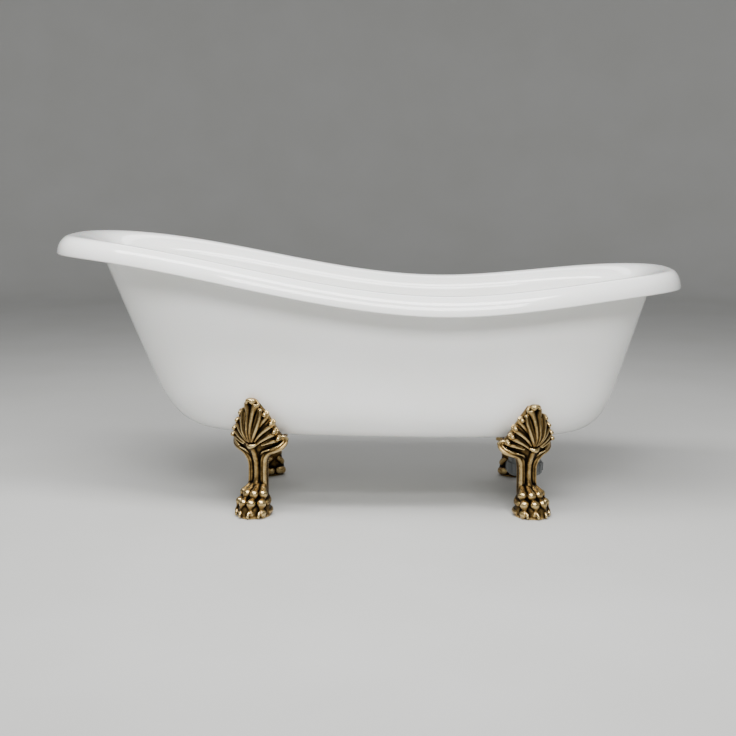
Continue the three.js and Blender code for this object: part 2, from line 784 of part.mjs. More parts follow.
bath.add(overflowFrame);
add(overflowFrame, "overflow_body", overflowBody(), pipe_plastic);
add(overflowFrame, "overflow_seal", overflowSeal(), rubber);
add(overflowFrame, "overflow_flange", overflowFlange(), bronze);
add(overflowFrame, "overflow_knob", overflowKnob(), bronze);
add(overflowFrame, "knob_spindle", knobSpindle(), brass);
add(overflowFrame, "knob_screw", knobScrew(), steel);
add(bath, "overflow_pipe", overflowPipe(), pipe_plastic);
add(bath, "lift_cable", liftCable(), rubber);

export default bath;
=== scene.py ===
# %% [markdown]
# # A slipper bath on four paw feet
# A freestanding bath is two sheets of acrylic, one inside the other. The inner one is the basin
# and its rolled rim, the outer one is the smooth body that hides the underframe. Four castings
# carry it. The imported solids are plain, so the visible pieces are made again here with the
# detail of the real ones, and each stands for the solid it replaces.

import json
import math

import bmesh
import bpy
import numpy as np
from mathutils import Matrix, Vector
from mathutils.bvhtree import BVHTree


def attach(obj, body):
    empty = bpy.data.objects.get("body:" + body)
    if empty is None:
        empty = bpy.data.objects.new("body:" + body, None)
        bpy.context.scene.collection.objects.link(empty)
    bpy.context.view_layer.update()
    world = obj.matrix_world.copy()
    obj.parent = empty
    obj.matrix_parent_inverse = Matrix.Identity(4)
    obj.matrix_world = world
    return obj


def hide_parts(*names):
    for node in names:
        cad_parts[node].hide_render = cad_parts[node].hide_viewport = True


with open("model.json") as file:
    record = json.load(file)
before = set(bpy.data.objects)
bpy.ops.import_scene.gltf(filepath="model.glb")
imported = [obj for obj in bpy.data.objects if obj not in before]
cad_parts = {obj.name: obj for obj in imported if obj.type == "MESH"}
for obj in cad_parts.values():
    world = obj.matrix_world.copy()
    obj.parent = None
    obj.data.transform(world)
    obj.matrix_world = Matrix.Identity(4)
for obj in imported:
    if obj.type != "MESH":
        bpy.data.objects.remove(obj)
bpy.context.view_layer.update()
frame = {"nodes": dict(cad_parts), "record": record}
MM = 0.001
print("nodes:", len(frame["nodes"]))

# %% [markdown]
# ## Materials
# A material here starts from what the real thing is and how its surface was made. Colours are
# written as sRGB hex, as a paint chart gives them, and one function turns them linear, because
# shaders count light and not screen values. One small function adds any node, with its settings
# and its links, so that each material reads as a short list.


# %% Colour and node helpers
def linear(hex_colour):
    """The linear RGBA of an sRGB hex colour."""
    values = [int(hex_colour[i : i + 2], 16) / 255 for i in (0, 2, 4)]
    return [*[v / 12.92 if v < 0.04045 else ((v + 0.055) / 1.055) ** 2.4 for v in values], 1]


def add(tree, kind, links=(), **settings):
    """Adds a node. Settings name its properties or its inputs, links are (input, socket) pairs."""
    node = tree.nodes.new("ShaderNode" + kind)
    for name, value in settings.items():
        if hasattr(node, name):
            setattr(node, name, value)
        else:
            node.inputs[name.replace("_", " ")].default_value = value
    for name, socket in links:
        tree.links.new(socket, node.inputs[name])
    return node


def start_material(name, **settings):
    """A new material. Returns it, its node tree, its Principled shader and its coordinates."""
    material = bpy.data.materials.new(name)
    material.use_nodes = True
    tree = material.node_tree
    shader = tree.nodes["Principled BSDF"]
    for key, value in settings.items():
        shader.inputs[key.replace("_", " ")].default_value = value
    place = tree.nodes.new("ShaderNodeTexCoord").outputs["Object"]
    return material, tree, shader, place


def ramp(tree, factor, stops):
    """A colour ramp through (position, hex colour) stops."""
    node = tree.nodes.new("ShaderNodeValToRGB")
    while len(node.color_ramp.elements) < len(stops):
        node.color_ramp.elements.new(0.5)
    for element, (position, colour) in zip(node.color_ramp.elements, stops):
        element.position = position
        element.color = linear(colour)
    tree.links.new(factor, node.inputs["Fac"])
    return node.outputs["Color"]


def per_mm(size):
    """The scale that gives a texture a cell of this many millimetres, in metres' space."""
    return 1 / (size * MM)


print("mid grey 808080 is", round(linear("808080")[0], 3), "in linear light")

# %% [markdown]
# ### Acrylic
# Bath acrylic is cast sheet, heated and drawn into a mould by vacuum, and backed with glass
# fibre. The mould face is polished, so the white is clean and deep with sharp gloss. What gives
# it away as acrylic and not enamel is a very slight waviness, a hand's breadth long, where the
# sheet cooled, and a faint haze of wiping marks in the gloss.


# %% White acrylic
def acrylic():
    material, tree, shader, place = start_material(
        "cast_acrylic_white",
        IOR=1.49,
        Coat_Weight=0.5,
        Coat_Roughness=0.03,
        Subsurface_Weight=0.06,
        Subsurface_Scale=4 * MM,
    )
    haze = add(tree, "TexNoise", [("Vector", place)], Scale=per_mm(35), Detail=6, Roughness=0.65)
    gloss = add(tree, "MapRange", [("Value", haze.outputs["Fac"])], To_Min=0.05, To_Max=0.14)
    tree.links.new(gloss.outputs["Result"], shader.inputs["Roughness"])
    wave = add(tree, "TexNoise", [("Vector", place)], Scale=per_mm(160), Detail=1.5)
    bump = add(tree, "Bump", [("Height", wave.outputs["Fac"])], Strength=0.12, Distance=1.2 * MM)
    tree.links.new(bump.outputs["Normal"], shader.inputs["Normal"])
    cloud = add(tree, "TexNoise", [("Vector", place)], Scale=per_mm(220), Detail=2)
    tone = ramp(tree, cloud.outputs["Fac"], [(0.3, "F1F1ED"), (0.7, "F6F6F4")])
    tree.links.new(tone, shader.inputs["Base Color"])
    return material


ACRYLIC = acrylic()
print("made", ACRYLIC.name)

# %% [markdown]
# ### Antiqued brass casting
# The feet are sand castings, plated with brass, dipped in a bath that turns it brown-black, and
# then rubbed back by hand. Rubbing only reaches the high spots, so ridges and knuckles shine
# pale gold while hollows stay dark and dull. The relief of the surface, worked out on the mesh
# further down and kept as an attribute, drives colour and gloss together. A fine grain from the
# sand lies over it all.


# %% Antiqued brass
# From a hollow that keeps the dark bath to a ridge rubbed bright.
WORN_COLOURS = [
    (0.16, "0A0805"),
    (0.38, "291F10"),
    (0.56, "5F4A28"),
    (0.76, "937748"),
    (1, "CBB27E"),
]


def antique_brass(name, relief):
    """A casting follows its relief; a turned fitting has none and is worn in soft patches."""
    material, tree, shader, place = start_material(name, Metallic=1.0)
    patches = add(tree, "TexNoise", [("Vector", place)], Scale=per_mm(9), Detail=7, Roughness=0.68)
    if relief:
        # Rubbing follows the ridges, but never evenly.
        height = add(tree, "Attribute", attribute_name="relief").outputs["Fac"]
        shift = add(tree, "MapRange", [("Value", patches.outputs["Fac"])], To_Min=-0.3, To_Max=0.3)
        terms = [(0, height), (1, shift.outputs["Result"])]
        worn = add(tree, "Math", terms, operation="ADD", use_clamp=True).outputs["Value"]
    else:
        even = add(tree, "MapRange", [("Value", patches.outputs["Fac"])], To_Min=0.36, To_Max=0.94)
        worn = even.outputs["Result"]
    tree.links.new(ramp(tree, worn, WORN_COLOURS), shader.inputs["Base Color"])
    gloss = add(
        tree, "MapRange", [("Value", worn)], From_Min=0.15, From_Max=0.9, To_Min=0.6, To_Max=0.24
    )
    tree.links.new(gloss.outputs["Result"], shader.inputs["Roughness"])
    # Sand leaves a grain of half a millimetre; it is drawn three times as coarse, so that it shows.
    grain = add(tree, "TexNoise", [("Vector", place)], Scale=per_mm(1.5), Detail=4, Roughness=0.6)
    dents = add(tree, "TexVoronoi", [("Vector", place)], Scale=per_mm(6), feature="SMOOTH_F1")
    terms = [(0, grain.outputs["Fac"]), (1, dents.outputs["Distance"])]
    rough = add(tree, "Math", terms, operation="ADD")
    bump = add(tree, "Bump", [("Height", rough.outputs["Value"])], Strength=0.35, Distance=0.6 * MM)
    tree.links.new(bump.outputs["Normal"], shader.inputs["Normal"])
    return material


CASTING = antique_brass("brass_plated_casting_antiqued", True)
FITTING = antique_brass("brass_turned_antiqued", False)
print("made", CASTING.name, "and", FITTING.name)

# %% [markdown]
# ### The plain working parts
# Under the bath are mouldings, fixings and timber that nobody polishes. They share one recipe: a
# colour that drifts a little between two tones, a roughness that drifts with it, and a bump at
# the size of the surface's own grain.


# %% A recipe for plain surfaces
def plain(name, tones, grain_mm, depth_mm, rough, stretch=(1, 1, 1), **settings):
    """A surface whose colour and gloss drift together, with grain of a real size."""
    material, tree, shader, place = start_material(name, **settings)
    where = add(tree, "Mapping", [("Vector", place)], Scale=stretch).outputs["Vector"]
    drift = add(tree, "TexNoise", [("Vector", where)], Scale=per_mm(grain_mm * 8), Detail=6)
    grain = add(tree, "TexNoise", [("Vector", where)], Scale=per_mm(grain_mm), Detail=4)
    colour = ramp(tree, drift.outputs["Fac"], [(0.25, tones[0]), (0.75, tones[1])])
    tree.links.new(colour, shader.inputs["Base Color"])
    low, high = rough - 0.08, rough + 0.08
    gloss = add(tree, "MapRange", [("Value", grain.outputs["Fac"])], To_Min=low, To_Max=high)
    tree.links.new(gloss.outputs["Result"], shader.inputs["Roughness"])
    depth = depth_mm * MM
    bump = add(tree, "Bump", [("Height", grain.outputs["Fac"])], Strength=0.4, Distance=depth)
    tree.links.new(bump.outputs["Normal"], shader.inputs["Normal"])
    return material


# %% The plain materials, by the record's slots
FINISHES = {
    "acrylic": ACRYLIC,
    "antique_casting": CASTING,
    "antique_brass": FITTING,
    # Bright zinc: a cool grey metal with a faint fine mottle.
    "steel": plain("steel_zinc_plated", ("8F9294", "B4B7B8"), 0.8, 0.1, 0.34, Metallic=1.0),
    # Brass as it comes off the lathe: yellow, with a fine grain that catches the light.
    "brass": plain("brass_turned_bare", ("A8873C", "C9A755"), 0.6, 0.08, 0.3, Metallic=1.0),
    # Moulded black rubber: nearly no gloss, a grey bloom.
    "rubber": plain("rubber_moulded_black", ("151515", "232322"), 1.2, 0.15, 0.75, IOR=1.52),
    # Moulded nylon: creamy, a silky half gloss.
    "nylon": plain("nylon_moulded_natural", ("CFCABB", "DEDACC"), 1.5, 0.08, 0.48, IOR=1.53),
    # Moulded polypropylene pipework: drain grey, waxy.
    "pipe_plastic": plain(
        "polypropylene_moulded_grey", ("5C5F60", "6B6E6F"), 2, 0.1, 0.42, IOR=1.49
    ),
    # Planed beech bearers: straight grain along the piece.
    "hardwood": plain(
        "beech_planed_sealed", ("9A6F45", "BD9163"), 2, 0.3, 0.6, (6, 1, 6), IOR=1.5
    ),
    # Birch plywood: a pale rotary-cut face.
    "plywood": plain(
        "birch_plywood_sealed", ("B8945F", "D6B885"), 3, 0.3, 0.65, (1, 5, 5), IOR=1.5
    ),
    # Cured sealant: matt, slightly lumpy.
    "adhesive": plain("sealant_cured_white", ("CACAC4", "DDDDD8"), 4, 0.6, 0.65, IOR=1.45),
}
print("finishes:", ", ".join(FINISHES))

# %% [markdown]
# ## Turning a mesh into a piece
# Each piece's object stays at the origin and its place is in its mesh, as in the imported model.
# Edges sharper than an angle are marked, so that a flat face next to a curve stays crisp while
# the curve shades smoothly.


# %% Piece helpers
SLOT_OF = {part["node"]: part["material_slot"] for part in frame["record"]["subparts"]}
WELD = 1e-7


def shade(bm, sharp_degrees):
    """Smooth faces, with the edges that bend more than the angle kept sharp."""
    for face in bm.faces:
        face.smooth = True
    for edge in bm.edges:
        if len(edge.link_faces) == 2:
            edge.smooth = edge.calc_face_angle(0) < math.radians(sharp_degrees)


def finish_piece(name, bm, body, nodes, sharp_degrees):
    """Makes the object, gives it the finish of the nodes it stands for, and lets it ride."""
    shade(bm, sharp_degrees)
    mesh = bpy.data.meshes.new(name)
    bm.to_mesh(mesh)
    bm.free()
    piece = bpy.data.objects.new(name, mesh)
    bpy.context.scene.collection.objects.link(piece)
    slot = SLOT_OF[nodes[0]]
    mesh.materials.append(FINISHES[slot])
    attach(piece, body)
    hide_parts(*nodes)
    print(f"{name}: {len(mesh.polygons)} faces")
    return piece


def formed(bm, columns, rows, place):
    """A flat grid bent into shape: place(column, row) gives each point. Doubles are welded."""
    made = bmesh.ops.create_grid(bm, x_segments=columns, y_segments=rows, size=0.5)["verts"]
    for vert in made:
        vert.co = place(round((vert.co.x + 0.5) * columns), round((vert.co.y + 0.5) * rows))
    bmesh.ops.remove_doubles(bm, verts=made, dist=WELD)


print("slots in use:", len(set(SLOT_OF.values())))

# %% [markdown]
# ## The two acrylic sheets
# The real sheets are flat before the mould bends them, and they are made the same way here: a
# flat grid is bent until its columns run up the wall and its rows run round the bath. Every row
# follows a plan outline, a superellipse that is squarer than an oval, and a height that changes
# along the bath. The rim's crest is a long S-curve up to the head end.

# %% Sizes shared with the solids, in millimetres
LENGTH, WIDTH = 1700, 740
HEAD_POWER, TAIL_POWER = 3, 2.7
RIM_LOW_X, RIM_LOW_Z = 210, 594.5
HEAD_RISE, TAIL_RISE = 143, 49
LIP_DROP, SHOULDER_DROP, SKIN_TOP_DROP = 50, 48, 38
UNDERSIDE_X, UNDERSIDE_Z, FALL = 57.5, 204, 0.0147
FLOOR_STACK = 46.5
BASIN_WALL, SKIN_WALL = 6, 5
WALL_SHARE = 0.72
DRAIN_X, OVERFLOW_Z = 440, 485
DRAIN_HOLE, TRAP_HOLE = 27, 68
COLUMNS = 224
# Plan outlines: head end's X, waste end's X, half width.
LIP = np.array([-LENGTH / 2, LENGTH / 2, WIDTH / 2])
CREST = np.array([-812, 822, 329])
BASIN_TOP = np.array([-715, 744, 274])
BASIN_CORNER = np.array([-500, 572, 212])
BASIN_FLAT = np.array([-400, 500, 130])
SKIN_TOP = np.array([-735, 772, 292])
SKIN_CORNER = np.array([-535, 640, 262])
SKIN_FLAT = np.array([-440, 555, 190])
GROW = np.array([-1, 1, 1])  # what makes an outline one millimetre bigger all round
print("outlines of", COLUMNS, "points on a bath of", LENGTH, "x", WIDTH, "mm")


# %% Outlines and heights
def smoothstep(x, low, high):
    t = np.clip((x - low) / (high - low), 0, 1)
    return t * t * (3 - 2 * t)


def crest_height(x):
    to_head = HEAD_RISE * (1 - smoothstep(x, -LENGTH / 2, RIM_LOW_X))
    return RIM_LOW_Z + to_head + TAIL_RISE * smoothstep(x, RIM_LOW_X, LENGTH / 2)


def underside_height(x):
    return UNDERSIDE_Z - FALL * (x - UNDERSIDE_X)


def floor_height(x):
    return underside_height(x) + FLOOR_STACK


def outline(shape):
    """Evenly spaced points round a plan outline, from the waste end's tip."""
    head, tail, half = shape
    t = np.linspace(0, 2 * math.pi, 2001)
    along, across = np.cos(t), np.sin(t)
    power = 2 / np.where(along < 0, HEAD_POWER, TAIL_POWER)
    x = (head + tail) / 2 + (tail - head) / 2 * np.sign(along) * np.abs(along) ** power
    y = half * np.sign(across) * np.abs(across) ** power
    run = np.concatenate([[0], np.cumsum(np.hypot(np.diff(x), np.diff(y)))])
    even = np.linspace(0, run[-1], COLUMNS + 1)[:-1]
    return np.stack([np.interp(even, run, x), np.interp(even, run, y)], axis=1)


def row(shape, height):
    """One row of the grid: an outline with a height for each X."""
    plan = outline(shape)
    return np.column_stack([plan, height(plan[:, 0])])


print("rim's crest from", crest_height(RIM_LOW_X), "to", round(float(crest_height(-850)), 1), "mm")


# %% Rows of a wall, of a floor and of the roll
def wall_rows(top, corner, flat, wall_steps, bend_steps):
    """Down a leaning wall and round the bend into the flat."""
    start = top + (corner - top) * WALL_SHARE
    rows = [top + (start - top) * i / wall_steps for i in range(wall_steps + 1)]
    for i in range(1, bend_steps + 1):
        share = i / bend_steps
        down, across = start + (corner - start) * share, corner + (flat - corner) * share
        rows.append(down + (across - down) * share)
    return rows


def floor_rows(flat, radius, height, steps):
    """From the flat's outline in to a round hole at the waste."""
    spokes = flat[:, :2] - [DRAIN_X, 0]
    hole = [DRAIN_X, 0] + spokes / np.linalg.norm(spokes, axis=1)[:, None] * radius
    hole = np.column_stack([hole, height(hole[:, 0])])
    return [flat + (hole - flat) * i / steps for i in range(1, steps + 1)]


def roll_rows(inset, shoulder, steps):
    """From the lip's edge up over the crest and down to the shoulder."""
    rows = []
    lip = LIP - GROW * inset
    for i in range(steps):
        angle = (1 - i / steps) * math.pi / 2
        drop = (LIP_DROP - inset) * (1 - math.cos(angle)) + inset
        shape = CREST + (lip - CREST) * math.sin(angle)
        rows.append(row(shape, lambda x, d=drop: crest_height(x) - d))
    for i in range(steps):
        angle = (1 - i / steps) * math.pi / 2
        drop = (SHOULDER_DROP - inset) * (1 - math.sin(angle)) + inset
        shape = shoulder + (CREST - shoulder) * (1 - math.cos(angle))
        rows.append(row(shape, lambda x, d=drop: crest_height(x) - d))
    return rows


def basin_rows(inset, roll_steps, wall_steps, bend_steps, floor_steps):
    """One face of the basin, from the lip's edge to the drain's hole."""

    def height(x):
        return floor_height(x) - inset

    shoulder = BASIN_TOP + GROW * inset
    top = row(shoulder, lambda x: crest_height(x) - SHOULDER_DROP)
    corner = row(BASIN_CORNER + GROW * inset, height)
    flat = row(BASIN_FLAT, height)
    return (
        roll_rows(inset, shoulder, roll_steps)
        + wall_rows(top, corner, flat, wall_steps, bend_steps)
        + floor_rows(flat, DRAIN_HOLE, height, floor_steps)
    )


def skin_rows(inset, wall_steps, bend_steps, floor_steps):
    """One face of the body, from under the roll to the trap's hole."""

    def height(x):
        return underside_height(x) + inset

    top = row(SKIN_TOP - GROW * inset, lambda x: crest_height(x) - SKIN_TOP_DROP)
    corner = row(SKIN_CORNER - GROW * inset, height)
    flat = row(SKIN_FLAT, height)
    wall = wall_rows(top, corner, flat, wall_steps, bend_steps)
    return wall + floor_rows(flat, TRAP_HOLE, height, floor_steps)


# %% Bend a grid through the rows
def sheet_through(rows):
    """A closed sheet whose last row meets its first."""
    rows = [r * MM for r in rows]
    bm = bmesh.new()
    formed(bm, COLUMNS, len(rows), lambda c, r: rows[r % len(rows)][c % COLUMNS])
    bmesh.ops.recalc_face_normals(bm, faces=bm.faces)
    return bm


# %% [markdown]
# The overflow is bolted through the wall at the waste end. The wall curves in plan and the
# fitting is flat, so the mould has a flat round land there, and the grid's points near it are
# drawn onto its plane.

# %% The overflow's place and its flat land
wall_top = Vector((BASIN_TOP[1], crest_height(BASIN_TOP[1]) - SHOULDER_DROP))
wall_foot = Vector((BASIN_CORNER[1], floor_height(BASIN_CORNER[1])))
wall_lean = math.atan2(wall_top.x - wall_foot.x, wall_top.y - wall_foot.y)
overflow_x = wall_top.x - (wall_top.y - OVERFLOW_Z) * math.tan(wall_lean)


def fitting_place(x, z, angle):
    """The frame of a fitting on the bath's middle line, tipped about Y."""
    return Matrix.Translation(Vector((x, 0, z)) * MM) @ Matrix.Rotation(angle, 4, "Y")


OVERFLOW = fitting_place(overflow_x, OVERFLOW_Z, wall_lean - math.pi / 2)
DRAIN = fitting_place(DRAIN_X, floor_height(DRAIN_X), math.atan(FALL))
# The land is flat to its radius and runs out at its edge, in this much of the wall's depth.
LAND_RADIUS, LAND_EDGE, LAND_REACH = 40, 66, 25


def press_land(rows, depth):
    """Draws the points round the overflow onto a plane this deep behind the basin's face."""
    turn = np.array(OVERFLOW.to_3x3())
    centre = np.array(OVERFLOW.translation) / MM
    for points in rows:
        local = (points - centre) @ turn
        near = 1 - smoothstep(np.hypot(local[:, 0], local[:, 1]), LAND_RADIUS, LAND_EDGE)
        near *= np.abs(local[:, 2] + depth) < LAND_REACH
        local[:, 2] += (-depth - local[:, 2]) * near
        points[:] = local @ turn.T + centre


print("wall leans", round(math.degrees(wall_lean), 1), "degrees")

# %% The basin
inner_face = basin_rows(0, roll_steps=18, wall_steps=22, bend_steps=16, floor_steps=8)
outer_face = basin_rows(BASIN_WALL, roll_steps=10, wall_steps=8, bend_steps=8, floor_steps=2)
press_land(inner_face, 0)
# The sheet's cut edge under the lip has its outer corner rubbed round: inwards and up.
LIP_CORNER = [(2.2, 0), (0.7, 0.7), (0, 2.2)]
inner_face[:1] = [
    row(LIP - GROW * inward, lambda x, up=up: crest_height(x) - LIP_DROP + up)
    for inward, up in LIP_CORNER
]
bm = sheet_through(inner_face + outer_face[::-1])
finish_piece("basin_sheet", bm, "bath", ["inner_basin"], 50)

# %% The outer skin
outside = skin_rows(0, wall_steps=20, bend_steps=18, floor_steps=6)
inside = skin_rows(SKIN_WALL, wall_steps=8, bend_steps=8, floor_steps=2)
bm = sheet_through(outside + inside[::-1])
skin = finish_piece("body_sheet", bm, "bath", ["outer_skin"], 50)

# %% [markdown]
# ## Two workshop tools
# Round parts are made on a lathe here too: half of the section is drawn as a closed line of
# points, and a full spin sweeps it round. The corners are cut twice first, the way a file
# breaks an edge, which gives every rim the thin bright line that a turned edge has. Bar stock
# is a box with its edges rounded by a bevel.


# %% The lathe
CUT_SHARE = 0.3  # the most of a side that a corner's cut may take


def eased(points, amount):
    """A closed section with each corner cut, by no more than the amount in millimetres."""
    cut = []
    for before, here, after in zip(points[-1:] + points[:-1], points, points[1:] + points[:1]):
        here = Vector(here)
        for other in (Vector(before), Vector(after)):
            away = other - here
            cut.append(tuple(here + away * min(amount / away.length, CUT_SHARE)))
    return cut


def turn(bm, points, steps=96, ease=0.5):
    """Spins a closed section of radius and height, in millimetres, round Z."""
    for amount in (ease, ease / 3):
        points = eased(points, amount)
    rim = [bm.verts.new((max(radius, 0) * MM, 0, height * MM)) for radius, height in points]
    line = [bm.edges.new(pair) for pair in zip(rim, rim[1:] + rim[:1])]
    bmesh.ops.spin(
        bm, geom=rim + line, axis=(0, 0, 1), angle=2 * math.pi, steps=steps, use_merge=True
    )


# %% Bar stock, and setting a fitting in
def bar_stock(bm, size, centre, turn_degrees=0, round_mm=0.4):
    """A rectangular bar with its edges rounded, turned about Z."""
    turned = Matrix.Rotation(math.radians(turn_degrees), 4, "Z")
    place = turned @ Matrix.Translation(Vector(centre) * MM)
    sides = Matrix.Diagonal((*[side * MM for side in size], 1))
    made = bmesh.ops.create_cube(bm, size=1, matrix=place @ sides)["verts"]
    edges = {edge for vert in made for edge in vert.link_edges}
    bmesh.ops.bevel(
        bm,
        geom=list(edges),
        offset=round_mm * MM,
        segments=3,
        profile=0.5,
        affect="EDGES",
        material=-1,
    )


def set_in(bm, place):
    """Closes the poles, turns all faces outwards and moves the fitting to its place."""
    bmesh.ops.remove_doubles(bm, verts=bm.verts, dist=WELD)
    bmesh.ops.recalc_face_normals(bm, faces=bm.faces)
    bmesh.ops.transform(bm, matrix=place, verts=bm.verts)


# %% [markdown]
# ## The paw feet
# Each foot is a sand casting: a lion's paw, a fluted leg and a fan of acanthus lobes that laps
# up the body. A carver would build such a pattern from rolls of wax, pressed together and
# smoothed, and the same is done here. Bars that swell and thin are laid on a plain core, one
# voxel remesh melts them into a single skin, and a little smoothing takes off what the foundry
# sand would not hold. The pattern is made once, in its own frame with the toes towards -Y.

# %% Sizes of the casting, in millimetres
# Height, forward offset, half depth and half width of the core, from sole to leaf tip.
FOOT_SECTIONS = np.array(
    [
        [0, 24, 46, 43],
        [12, 26, 50, 47],
        [32, 23, 46, 45],
        [52, 12, 36, 37],
        [74, -2, 26, 31],
        [100, -8, 22, 28],
        [140, -9, 23, 28],
        [165, -6, 28, 37],
        [186, -2, 33, 68],
        [206, 3, 36, 84],
        [226, 9, 37, 76],
        [252, 15, 34, 62],
        [282, 21, 27, 45],
        [306, 24, 20, 27],
        [330, 26, 11, 10],
    ],
    float,
)
WRAP = 0.0045  # how much the core's sides curve back round the body, per millimetre squared
VOXEL = 1.35
GLIDE_Y = -18  # the adjuster's place, forward of the leg
FEET = {
    "head_front": {"x": -295, "y": -230, "turn": -28, "stretch": 1},
    "head_rear": {"x": -295, "y": 230, "turn": 208, "stretch": 1},
    "tail_front": {"x": 421, "y": -228, "turn": 30, "stretch": 0.95},
    "tail_rear": {"x": 421, "y": 228, "turn": 150, "stretch": 0.95},
}
print("a foot of", FOOT_SECTIONS[-1][0], "mm, in", len(FOOT_SECTIONS), "sections")


# %% A smooth curve through a table, and the core's front
def through(table, t):
    """A Catmull-Rom curve through the rows of a table, at a row number that may be a fraction."""
    i = min(int(t), len(table) - 2)
    t -= i
    a, b, c, d = (table[min(max(k, 0), len(table) - 1)] for k in (i - 1, i, i + 1, i + 2))
    return b + 0.5 * t * (c - a + t * (2 * a - 5 * b + 4 * c - d + t * (3 * (b - c) + d - a)))


def section(z):
    """The row of the table at a height: height, forward offset, half depth, half width."""
    number = np.interp(z, FOOT_SECTIONS[:, 0], range(len(FOOT_SECTIONS)))
    return through(FOOT_SECTIONS, float(number))


def front(x, z):
    """Y of the core's front at a place across and up."""
    _, forward, depth, width = section(z)
    return -forward - depth * math.sqrt(max(0.0, 1 - (x / width) ** 2)) + WRAP * x * x


print("the leg is", round(2 * section(100)[3]), "mm wide, its fan", round(2 * section(206)[3]))

# %% A bar that swells and thins along a smooth path
GROOVE_WIDTH = 0.34  # a flute's width, as a share of its bar's radius
THINNEST = 0.5


def round_end(ring, beyond):
    """Rings that close a bar's end with half a ball, from the end outwards."""
    centre, radius = ring
    return [
        (centre + beyond * radius * math.sin(angle), radius * math.cos(angle))
        for angle in (math.pi / 6, math.pi / 3, math.pi / 2)
    ]


def bar(bm, path, flat=1.0, rows=14, columns=12, groove=0.0):
    """path holds X, Y, Z and radius; flat squeezes the bar, groove cuts a flute in its face."""
    path = np.array(path, float)
    stops = [through(path, (len(path) - 1) * i / rows) for i in range(rows + 1)]
    rings = [(Vector(stop[:3]), max(stop[3], THINNEST)) for stop in stops]
    first = round_end(rings[0], Vector((stops[0] - stops[1])[:3]).normalized())
    last = round_end(rings[-1], Vector((stops[-1] - stops[-2])[:3]).normalized())
    rings = first[::-1] + rings + last
    ahead = Vector((0, -1, 0))
    frames = []
    for i, (centre, radius) in enumerate(rings):
        along = (rings[min(i + 1, len(rings) - 1)][0] - rings[max(i - 1, 0)][0]).normalized()
        ahead = (ahead - along * ahead.dot(along)).normalized()
        frames.append((centre, along.cross(ahead) * radius, ahead * radius * flat))

    def place(column, line):
        centre, side, out = frames[line]
        angle = 2 * math.pi * column / columns
        across, up = math.cos(angle), math.sin(angle)
        if up > 0:
            up -= groove * math.exp(-((across / GROOVE_WIDTH) ** 2))
        return centre + side * across + out * up

    formed(bm, columns, len(frames) - 1, place)


# %% The core
CORE_ROWS, CORE_COLUMNS = 66, 40
CORE_TOP = FOOT_SECTIONS[-1][0] - 16
# The core stays this far inside the sections, less at the sole, and never gets thinner than this.
CORE_INSET, SOLE_INSET, SOLE_HEIGHT, CORE_LEAST = 4.5, 2, 6, 3
# Behind the leaves it is narrower still, so that their tips make the outline.
LEAF_NARROWING, LEAF_FROM, LEAF_FULL = 11, 206, 226


def core(bm):
    def place(column, line):
        z = CORE_TOP * min(max((line - 1) / (CORE_ROWS - 2), 0), 1)
        _, forward, depth, width = section(z)
        inset = CORE_INSET if z > SOLE_HEIGHT else SOLE_INSET
        grow = 0 if line in (0, CORE_ROWS) else 1
        angle = 2 * math.pi * column / CORE_COLUMNS
        narrow = LEAF_NARROWING * float(smoothstep(z, LEAF_FROM, LEAF_FULL))
        x = grow * max(width - inset - narrow, CORE_LEAST) * math.cos(angle)
        y = grow * max(depth - inset, CORE_LEAST) * math.sin(angle) - forward + WRAP * x * x
        return Vector((x, y, z))

    formed(bm, CORE_COLUMNS, CORE_ROWS, place)


pattern = bmesh.new()
core(pattern)
print("core:", len(pattern.faces), "faces")


# %% The paw
# Each toe's knuckles, from the ankle to the pad: share across, Y, Z and radius.
TOE = [
    (0.5, -6, 84, 8),
    (0.78, -26, 71, 9),
    (0.9, -37, 61, 13),
    (0.96, -44, 50, 7.5),
    (1.02, -54, 39, 13.5),
    (1.06, -58, 27, 8),
    (1.08, -57, 16, 13.5),
    (1.08, -54, 8, 10),
]
CLAW = [(1.08, -67, 17, 4.6), (1.09, -72, 12, 4.2), (1.1, -73, 7, 3.2), (1.1, -71, 3, 1.4)]
# The two middle toes and the two outer ones: distance across, and how far back they stand.
TOES = [(11.5, 0), (32, 17)]


def paw(bm):
    for side in (-1, 1):
        for across, back in TOES:
            for chain, rows in ((TOE, 28), (CLAW, 8)):
                path = [
                    (side * across * share, y + back * min(1, share * share), z, radius)
                    for share, y, z, radius in chain
                ]
                bar(bm, path, rows=rows)
        # The side pad, the heel, and the dewclaw's roll above them.
        bar(bm, [(side * 34, -12, 14, 11), (side * 28, 8, 14, 12), (side * 12, 16, 16, 12)])
        bar(bm, [(side * 31, -16, 36, 11), (side * 25, 4, 40, 12), (side * 12, 12, 54, 10)])


paw(pattern)
print("with the paw:", len(pattern.faces), "faces")


